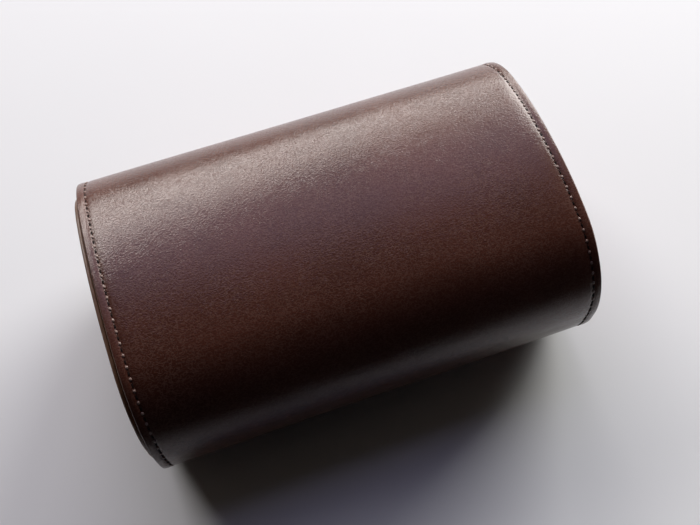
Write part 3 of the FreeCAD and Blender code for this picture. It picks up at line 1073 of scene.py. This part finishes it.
def cheek_places(x, out):
    """Stitch places round the face of one cheek."""
    line = cheek_outline(CHEEK_STITCH_INSET)
    count = round(line.length / STITCH_PITCH)
    places = []
    for number in range(count):
        point, heading = line.place((number + 0.5) * line.length / count)
        along = Vector((0, math.cos(heading), math.sin(heading)))
        places.append((Vector((x, point.x, point.y)), along, out))
    return places


def make_stitches():
    """Rows along both ends of the wrap, the flap's edge, the front wall and the cheeks."""
    model = stitch_model()
    trough = trough_outline(0)
    crown = crown_outline(0, 0)
    row_end = HALF_LENGTH - STITCH_MARGIN
    flap_turn = crown.length - FLAP_CORNER_RADIUS
    facing_out = Vector((0, -1, 0))
    trough_row = []
    crown_row = []
    for sign in (-1, 1):
        trough_row += end_places(trough, sign * row_end, STITCH_MARGIN, trough.length)
        crown_row += end_places(crown, sign * row_end, 0, flap_turn)
        crown_row += corner_places(sign)
    wall_row, _ = trough.place(STITCH_MARGIN)
    trough_row += level_places(wall_row.x, wall_row.y, row_end, facing_out)
    flap_reach = HALF_LENGTH - FLAP_CORNER_RADIUS
    crown_row += level_places(FLAP_FACE, FLAP_EDGE + STITCH_MARGIN, flap_reach, facing_out)
    trough_stitches = stitch_row("trough_stitches", model, trough_row)
    crown_stitches = stitch_row("crown_stitches", model, crown_row)
    bend_at_hinge(trough_stitches)
    bend_at_fold(crown_stitches)
    for side, sign in (("left", -1), ("right", 1)):
        places = cheek_places(sign * cheek_high.x, Vector((sign, 0, 0)))
        row = stitch_row(side + "_cheek_stitches", model, places)
        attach(row, "case_body")
    bpy.data.objects.remove(model)


make_trough_leather()
make_crown_leather()
make_cores()
make_cheek("left", -1)
make_cheek("right", 1)
make_divider()
make_cushion("left")
make_cushion("right")
make_stitches()

# Hidden boards and metal discs keep their solids
for node in ("left_cheek_board", "right_cheek_board", "divider_board"):
    dress(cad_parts[node], board)
dress(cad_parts["front_keepers"], steel)
dress(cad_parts["flap_magnets"], nickel)

# Studio: a pale table, two soft windows at the front and side, a weak bluish glow and a black card
FLOOR_SIZE = 8.0
TABLE_REACH = 0.3
BACKGROUND_REACH = 1.0
BACKGROUND = (0.78, 0.79, 0.80, 1.0)
FLAG_SIZE = 0.8
FLAG_PLACE = (0, 0.12, FLAG_SIZE / 2)
CAMERA_PLACE = Vector((0.03193, 0.11578, 0.27846))
CAMERA_AIM = Vector((-0.00381, 0.00504, 0.03197))
CAMERA_ROLL = math.radians(-1.617)
CAMERA_LENS = 43.714
SENSOR_WIDTH = 36.0
WINDOW = Vector((-0.232, -1.620, 0.852))
WINDOW_FACING = Vector((-0.643, 0.766, 0.0))
WINDOW_SIZE = (2.25, 0.57)
WINDOW_POWER = 40.0
WINDOW_COLOUR = (1.0, 0.965, 0.935)
SIDE_WINDOW = Vector((-1.38, -1.155, 0.72))
SIDE_WINDOW_SIZE = (1.3, 1.08)
SIDE_WINDOW_POWER = 47.0
SIDE_WINDOW_COLOUR = (0.99, 0.99, 0.97)
SKY_GLOW = Vector((-0.065, -0.46, 0.82))
SKY_GLOW_SIZE = (0.9, 0.55)
SKY_GLOW_POWER = 1.7
SKY_GLOW_COLOUR = (0.62, 0.62, 1.0)
CASE_MIDDLE = Vector((0, 0, 0.06))
ROOM_COLOUR = (1.0, 0.82, 0.70, 1.0)
ROOM_STRENGTH = 0.045


def make_floor():
    deselect()
    bpy.ops.mesh.primitive_plane_add(size=FLOOR_SIZE)
    floor = bpy.context.object
    floor.name = "table_top"
    dress(floor, floor_material())


def make_flag():
    """A black card behind the case that keeps the bright table out of its dark back."""
    deselect()
    bpy.ops.mesh.primitive_plane_add(size=FLAG_SIZE, location=FLAG_PLACE, rotation=(RIGHT_ANGLE, 0, 0))
    flag = bpy.context.object
    flag.name = "black_card"
    dress(flag, card_material())
    flag.visible_camera = False
    flag.visible_shadow = False


def make_camera():
    data = bpy.data.cameras.new("photo_camera")
    data.lens = CAMERA_LENS
    data.sensor_width = SENSOR_WIDTH
    camera = bpy.data.objects.new("photo_camera", data)
    bpy.context.scene.collection.objects.link(camera)
    facing = (CAMERA_AIM - CAMERA_PLACE).to_track_quat("-Z", "Y")
    camera.rotation_mode = "QUATERNION"
    camera.rotation_quaternion = facing @ Quaternion((0, 0, 1), CAMERA_ROLL)
    camera.location = CAMERA_PLACE
    data.clip_start = 0.01
    data.clip_end = 50.0
    bpy.context.scene.camera = camera


def soft_light(name, place, aim, size, power, colour):
    """A rectangular lamp, hidden from the camera."""
    data = bpy.data.lights.new(name, "AREA")
    data.shape = "RECTANGLE"
    data.size = size[0]
    data.size_y = size[1]
    data.energy = power
    data.color = colour
    lamp = bpy.data.objects.new(name, data)
    bpy.context.scene.collection.objects.link(lamp)
    lamp.location = place
    lamp.rotation_mode = "QUATERNION"
    lamp.rotation_quaternion = (aim - place).to_track_quat("-Z", "Y")
    lamp.visible_camera = False


def make_world():
    """A dim warm room, with the pale background where the camera looks past the table."""
    world = bpy.data.worlds.new("dim_room")
    world.use_nodes = True
    tree = world.node_tree
    room = tree.nodes["Background"]
    room.inputs["Color"].default_value = ROOM_COLOUR
    room.inputs["Strength"].default_value = ROOM_STRENGTH
    pale = add_node(tree, "ShaderNodeBackground", {"Color": BACKGROUND, "Strength": 1.0})
    seen = add_node(tree, "ShaderNodeLightPath").outputs["Is Camera Ray"]
    inputs = {0: seen, 1: room.outputs["Background"], 2: pale.outputs["Background"]}
    mix = add_node(tree, "ShaderNodeMixShader", inputs)
    tree.links.new(mix.outputs["Shader"], tree.nodes["World Output"].inputs["Surface"])
    bpy.context.scene.world = world


make_floor()
make_flag()
make_camera()
make_world()
soft_light("window_light", WINDOW, WINDOW + WINDOW_FACING, WINDOW_SIZE, WINDOW_POWER, WINDOW_COLOUR)
soft_light("side_window", SIDE_WINDOW, CASE_MIDDLE, SIDE_WINDOW_SIZE, SIDE_WINDOW_POWER, SIDE_WINDOW_COLOUR)
soft_light("sky_glow", SKY_GLOW, CASE_MIDDLE, SKY_GLOW_SIZE, SKY_GLOW_POWER, SKY_GLOW_COLOUR)
bpy.context.scene.view_settings.view_transform = "Standard"
